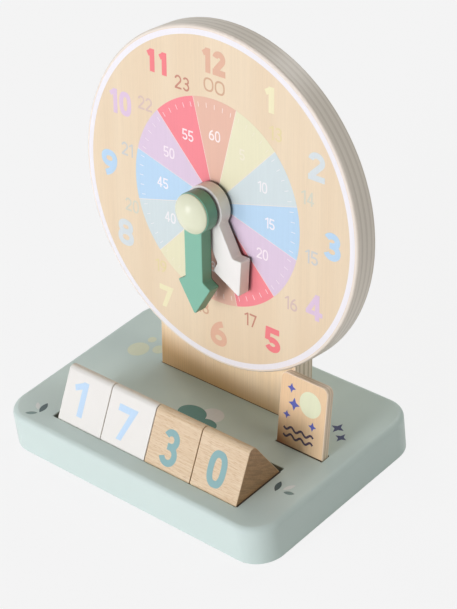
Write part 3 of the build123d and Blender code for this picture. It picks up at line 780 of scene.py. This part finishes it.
def wave(x, y, width, height, pen, swings):
    """A wavy line: a sine over its width, drawn with a pen."""
    along = np.linspace(-width / 2, width / 2, 12 * swings + 1)
    rise = height * np.sin(along / width * 2 * math.pi * swings)
    return stroke(np.column_stack([x + along, y + rise]), pen)


# how far up the tile's face the base's top cuts it
tile_foot = (base_top - tile_corner[2]) / mm / math.cos(tile_lean)
tile_front = (tile_corner[1] + tile_up[1] * tile_foot * mm) / mm - tile_clear
# a painted shadow line in the slot's gap, just in front of the tile
tile_shadow_run = [stroke([(tile_low.x / mm, tile_front), (tile_high.x / mm, tile_front)], tile_pen)]
print_on("tile_foot_line", [(tile_shadow_run, [])], painted_gap_shadow, **on_base)
on_tile = dict(body="tile", slot="plywood", origin=tile_corner, right=(1, 0, 0), up=tile_up)
moon = loop(moon_x, tile_foot + moon_rise, moon_radius, moon_radius)
print_on("tile_moon", [([moon], [])], ink("tile_cream_ink", "#E4E9C6"), **on_tile)
sparks = [([spark(x, tile_foot + y, radius, waist=0.44)], [])
          for x, y, radius in ((-8.6, 35.2, 3.0), (-6.0, 26.2, 4.0), (-10.6, 18.4, 2.6), (7.8, 17.4, 2.8))]
print_on("tile_sparks", sparks, ink("tile_indigo_ink", "#5A64B4"), **on_tile)
waves = [([wave(-1.5, tile_foot + y, width=21.0, height=1.1, pen=1.3, swings=3)], [])
         for y in (10.6, 6.2)]
print_on("tile_waves", waves, ink("tile_dusk_ink", "#4A3F56"), **on_tile)

# ---------------------------------------------------------------- floor, light and camera
# A plain white paper floor in a pale room, under soft studio light: three key lamps in front, two
# of them low, and a weaker lamp on each side and behind.

floor_half = 6.0
floor_white = 0.943
# how much of that white covers the lit paper, which keeps the clock's shadow
floor_veil = 0.90
backdrop_white = 0.913
room_light = 0.20


def seen_straight(tree):
    """1 for rays that show the backdrop itself, plainly, in a gloss or through glass, else 0."""
    path = add(tree, "ShaderNodeLightPath").outputs
    share = path["Is Camera Ray"]
    for way in ("Is Glossy Ray", "Is Transmission Ray"):
        share = add(tree, "ShaderNodeMath", {0: share, 1: path[way]}, operation="MAXIMUM").outputs[0]
    return share


floor_mesh = bpy.data.meshes.new("floor")
floor_mesh.from_pydata([(-floor_half, -floor_half, 0), (floor_half, -floor_half, 0),
                        (floor_half, floor_half, 0), (-floor_half, floor_half, 0)], [], [(0, 1, 2, 3)])
floor = bpy.data.objects.new("floor", floor_mesh)
bpy.context.collection.objects.link(floor)
floor_material, tree, surface = new_material("white_paper_floor")
paper = add(tree, "ShaderNodeBsdfDiffuse", {"Color": (0.9, 0.9, 0.9, 1.0)})
white = add(tree, "ShaderNodeEmission", {"Color": (1, 1, 1, 1), "Strength": floor_white})
veil = add(tree, "ShaderNodeMath", {0: seen_straight(tree), 1: floor_veil}, operation="MULTIPLY")
mixed = add(tree, "ShaderNodeMixShader", {0: veil.outputs[0], 1: paper.outputs[0], 2: white.outputs[0]})
tree.links.new(mixed.outputs[0], surface)
floor_mesh.materials.append(floor_material)

world = bpy.data.worlds.new("pale_room")
bpy.context.scene.world = world
world.use_nodes = True
tree = world.node_tree
tree.nodes.clear()
strength = add(tree, "ShaderNodeMapRange", {0: seen_straight(tree), 3: room_light, 4: backdrop_white})
room = add(tree, "ShaderNodeBackground", {"Color": (1, 1, 1, 1), "Strength": strength.outputs[0]})
tree.links.new(room.outputs[0], tree.nodes.new("ShaderNodeOutputWorld").inputs["Surface"])

# soft boxes round the clock: degrees to the right of straight in front, degrees up, watts, colour
lamp_distance = 1.6
lamp_side = 0.5
lamp_target = Vector((0.0, 0.0, 0.1))
cool, plain = (0.948, 0.924, 1.0), (1.0, 1.0, 1.0)
soft_boxes = {"key_low": (-3, 8, 10.7, cool), "key_high": (0, 22, 5.5, cool),
              "key_left": (-28, 11, 5.3, cool), "left": (-110, 30, 3.0, plain),
              "right": (100, 25, 3.2, plain), "back": (180, 40, 4.4, plain)}
for name, (around_deg, up_deg, power, colour) in soft_boxes.items():
    around, above = math.radians(around_deg), math.radians(up_deg)
    outward = Vector((math.sin(around) * math.cos(above), -math.cos(around) * math.cos(above),
                      math.sin(above)))
    lamp = bpy.data.lights.new(name, "AREA")
    lamp.size = lamp_side
    lamp.energy = power
    lamp.color = colour
    box = bpy.data.objects.new(name, lamp)
    bpy.context.collection.objects.link(box)
    # the two brightest would only glare on the satin paint, seen from behind
    box.visible_glossy = name not in ("key_low", "key_high")
    turn = (-outward).to_track_quat("-Z", "Y").to_matrix().to_4x4()
    box.matrix_world = Matrix.Translation(lamp_target + outward * lamp_distance) @ turn

# the picture's height and the lens's focal length, both in pixels, then the camera's place and aim
picture_height = 609
focal_px = 2073.53
eye = Vector((0.69541, -0.63956, 0.73571))
yaw, pitch, roll = (math.radians(angle) for angle in (46.11, -34.25, -7.41))
ahead = Vector((-math.sin(yaw) * math.cos(pitch), math.cos(yaw) * math.cos(pitch), math.sin(pitch)))
level = Vector((math.cos(yaw), math.sin(yaw), 0.0))
upward = level.cross(ahead)
camera_right = level * math.cos(roll) + upward * math.sin(roll)
camera_up = upward * math.cos(roll) - level * math.sin(roll)
camera_data = bpy.data.cameras.new("camera")
camera_data.sensor_fit = "VERTICAL"
camera_data.sensor_height = 36.0
camera_data.lens = focal_px / picture_height * camera_data.sensor_height
camera = bpy.data.objects.new("camera", camera_data)
bpy.context.collection.objects.link(camera)
aim = Matrix((camera_right, camera_up, -ahead)).transposed().to_4x4()
camera.matrix_world = Matrix.Translation(eye) @ aim
bpy.context.scene.camera = camera
bpy.context.scene.view_settings.view_transform = "Standard"
